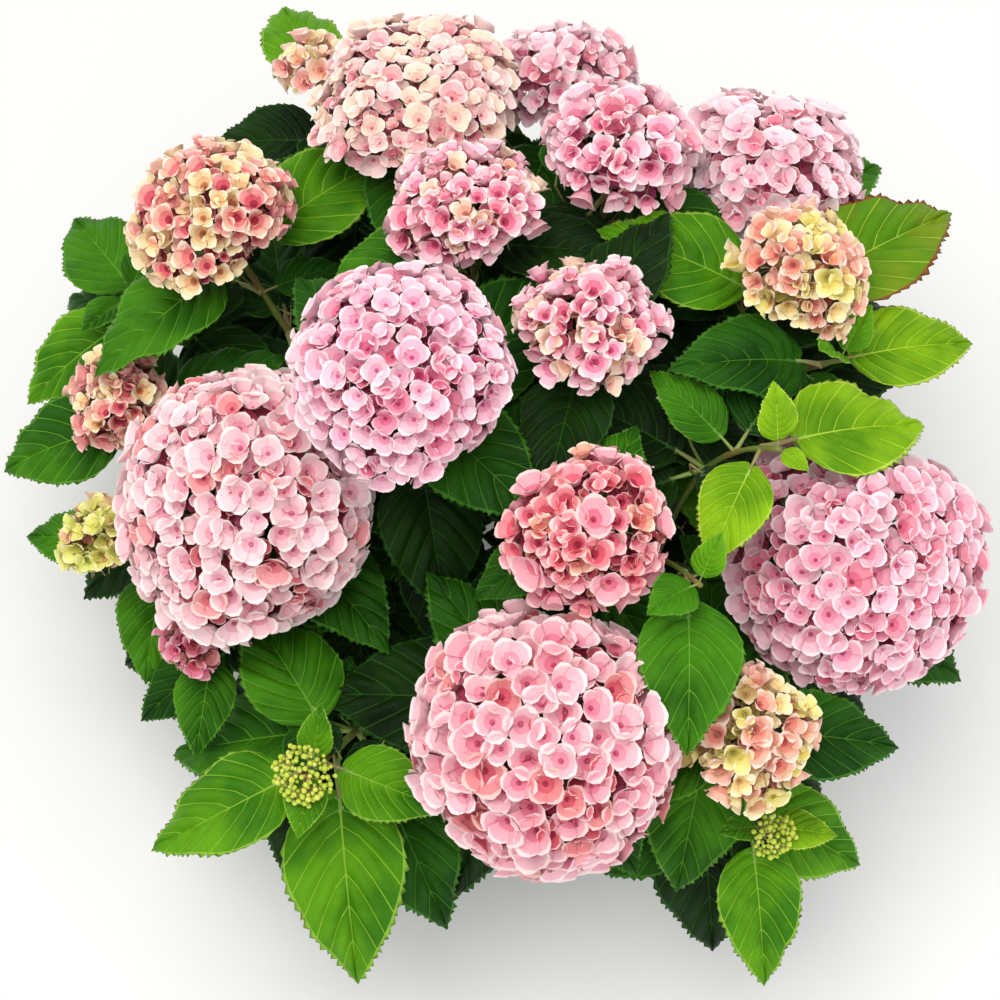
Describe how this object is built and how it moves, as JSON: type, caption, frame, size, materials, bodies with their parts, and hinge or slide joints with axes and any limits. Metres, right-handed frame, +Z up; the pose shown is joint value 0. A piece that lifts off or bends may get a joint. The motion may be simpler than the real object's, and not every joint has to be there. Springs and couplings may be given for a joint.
{
  "type": "hydrangea shrub",
  "caption": "Low, dense mophead flowering shrub: woody stool, arching canes, broad toothed leaves in pairs, rounded flower heads.",
  "frame": {"origin": "middle of the flat cut under the woody stool, at ground level", "axes": "+Z up along the stool, -Y the side seen in front, +X to the right of that side"},
  "size_m": [0.7969, 0.8613, 0.537],
  "materials": {
    "bark": "rough, finely furrowed bark",
    "foliage": "soft satin leaves and matt pink flower heads"
  },
  "bodies": {
    "root": {"stool": "bark", "cane_front": "bark", "cane_front_left": "bark", "cane_left": "bark", "cane_far_left": "bark", "cane_rear_left": "bark", "cane_rear": "bark", "cane_back": "bark", "cane_rear_right": "bark", "cane_far_right": "bark", "cane_right_rear": "bark", "cane_right": "bark", "cane_right_shoot": "bark", "cane_front_right": "bark", "cane_centre_left": "bark", "cane_centre": "bark", "foliage_front": "foliage", "foliage_front_left": "foliage", "foliage_left": "foliage", "foliage_far_left": "foliage", "foliage_rear_left": "foliage", "foliage_rear": "foliage", "foliage_back": "foliage", "foliage_rear_right": "foliage", "foliage_far_right": "foliage", "foliage_right_rear": "foliage", "foliage_right": "foliage", "foliage_right_shoot": "foliage", "foliage_front_right": "foliage", "foliage_centre_left": "foliage", "foliage_centre": "foliage"}
  },
  "joints": []
}
